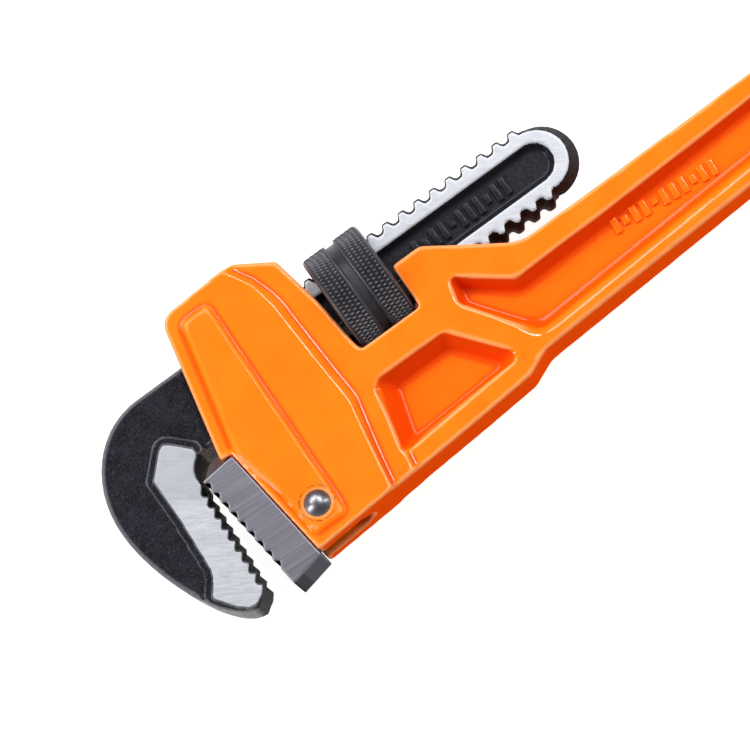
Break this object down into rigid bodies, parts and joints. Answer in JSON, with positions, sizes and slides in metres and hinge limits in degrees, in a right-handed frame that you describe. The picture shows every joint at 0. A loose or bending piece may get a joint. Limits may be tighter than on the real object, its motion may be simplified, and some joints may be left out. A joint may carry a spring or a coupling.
{
  "type": "pipe wrench",
  "caption": "Straight adjustable pipe wrench: iron handle and housing, toothed hook jaw on a threaded shank, knurled nut, pinned heel jaw, spring set.",
  "frame": {"origin": "middle of the shut wrench's bounding box in length and width, at the level of the surface it lies on, which touches the nut's rim", "axes": "+X along the handle away from the jaws, +Y toward the wrench's back, away from the jaw mouth, +Z out of the wrench's face, up as it lies"},
  "size_m": [0.2976, 0.0837, 0.034],
  "materials": {
    "orange_paint": "gloss",
    "forged_steel": "forged black with ground faces",
    "black_nut": "black phosphate",
    "ground_steel": "ground",
    "bright_steel": "polished",
    "spring_steel": "spring steel"
  },
  "bodies": {
    "handle": {"handle": "orange_paint", "heel_jaw": "ground_steel", "heel_jaw_pin": "bright_steel", "coil_spring": "spring_steel"},
    "spring_leaf": {"flat_spring": "spring_steel", "spring_rivet": "bright_steel"},
    "hook_jaw": {"hook_jaw": "forged_steel"},
    "adjusting_nut": {"adjusting_nut": "black_nut"}
  },
  "joints": [
    {"name": "jaw_rock", "type": "hinge", "parent": "handle", "child": "spring_leaf", "pos_m": [-0.0555, 0.0154, 0.017], "axis": [0, 0, 1], "range_deg": [-2, 0], "stiffness_Nm_per_rad": 13, "springref_deg": 1.72, "deforming": ["coil_spring"]},
    {"name": "nut_spin", "type": "hinge", "parent": "spring_leaf", "child": "adjusting_nut", "pos_m": [-0.0555, 0.0154, 0.017], "axis": [-1, 0, 0], "range_deg": [0, 3480]},
    {"name": "jaw_slide", "type": "slide", "parent": "spring_leaf", "child": "hook_jaw", "axis": [-1, 0, 0], "range_m": [0, 0.052]}
  ],
  "couplings": [
    {"joint": "nut_spin", "follows": "jaw_slide", "rad_per_m": 1167.9}
  ]
}
